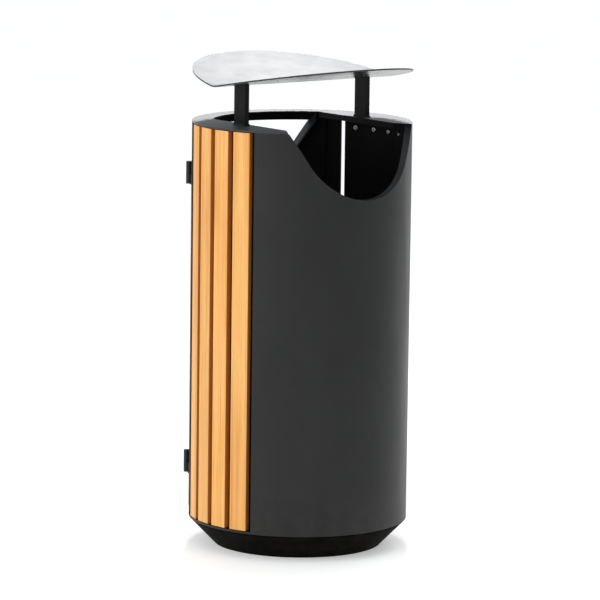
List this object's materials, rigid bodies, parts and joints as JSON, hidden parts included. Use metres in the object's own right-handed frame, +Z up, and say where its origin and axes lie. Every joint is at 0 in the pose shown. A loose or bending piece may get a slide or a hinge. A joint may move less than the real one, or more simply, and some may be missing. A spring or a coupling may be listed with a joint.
{
  "type": "litter bin",
  "caption": "Round park litter bin: dark steel shell with slatted timber sides, two throw-in openings, a curved cover on posts, a hinged locking rear door and a lift-out liner.",
  "frame": {"origin": "centre of the foot's underside, which is the centre of the anchor bolt circle", "axes": "+Z up; -Y to the front opening; +X to the timber side with the lock; the door is at +Y"},
  "size_m": [0.4204, 0.42, 0.9309],
  "materials": {
    "anthracite_paint": "smooth semi-gloss powder coat",
    "foot_paint": "matt black powder coat",
    "timber": "oiled, eased edges, open grain",
    "fixings": "stainless fixings",
    "lock_metal": "satin plated lock",
    "galvanised": "hot-dip galvanised sheet"
  },
  "bodies": {
    "shell": {"foot_cone": "foot_paint", "floor_plate": "anthracite_paint", "floor_bolts": "fixings", "floor_nuts": "fixings", "front_panel": "anthracite_paint", "front_collar": "anthracite_paint", "backing_plate_left": "anthracite_paint", "backing_plate_right": "anthracite_paint", "jamb_left": "anthracite_paint", "jamb_right": "anthracite_paint", "slat_left_1": "timber", "slat_left_2": "timber", "slat_left_3": "timber", "slat_left_4": "timber", "slat_right_1": "timber", "slat_right_2": "timber", "slat_right_3": "timber", "slat_right_4": "timber", "slat_screws": "fixings", "top_ring": "anthracite_paint", "cover_post_left": "anthracite_paint", "cover_post_right": "anthracite_paint", "cover": "anthracite_paint", "cover_screws": "fixings", "post_screws": "fixings", "door_stop": "anthracite_paint", "hinge_frame_knuckles": "anthracite_paint", "hinge_pins": "fixings", "lock_keeper": "anthracite_paint", "liner_guides": "anthracite_paint"},
    "door": {"door_panel": "anthracite_paint", "rear_collar": "anthracite_paint", "door_edge_strip": "anthracite_paint", "hinge_door_knuckles": "anthracite_paint", "lock_housing": "lock_metal", "lock_nut": "lock_metal"},
    "lock": {"lock_spindle": "lock_metal", "lock_cam": "lock_metal", "lock_cam_screw": "lock_metal"},
    "liner": {"liner_bucket": "galvanised", "liner_bosses": "galvanised"},
    "handle": {"liner_handle": "galvanised"}
  },
  "joints": [
    {"name": "door_hinge", "type": "hinge", "parent": "shell", "child": "door", "pos_m": [-0.1609, 0.14411, 0.42], "axis": [0, 0, 1], "range_deg": [0, 120]},
    {"name": "lock_turn", "type": "hinge", "parent": "door", "child": "lock", "pos_m": [0.13833, 0.15801, 0.4], "axis": [-0.6587, -0.7524, 0], "range_deg": [0, 90]},
    {"name": "liner_lift", "type": "slide", "parent": "shell", "child": "liner", "axis": [0, 0, 1], "range_m": [0, 0.03]},
    {"name": "handle_swing", "type": "hinge", "parent": "liner", "child": "handle", "pos_m": [0, 0, 0.63], "axis": [-1, 0, 0], "range_deg": [0, 160]}
  ]
}
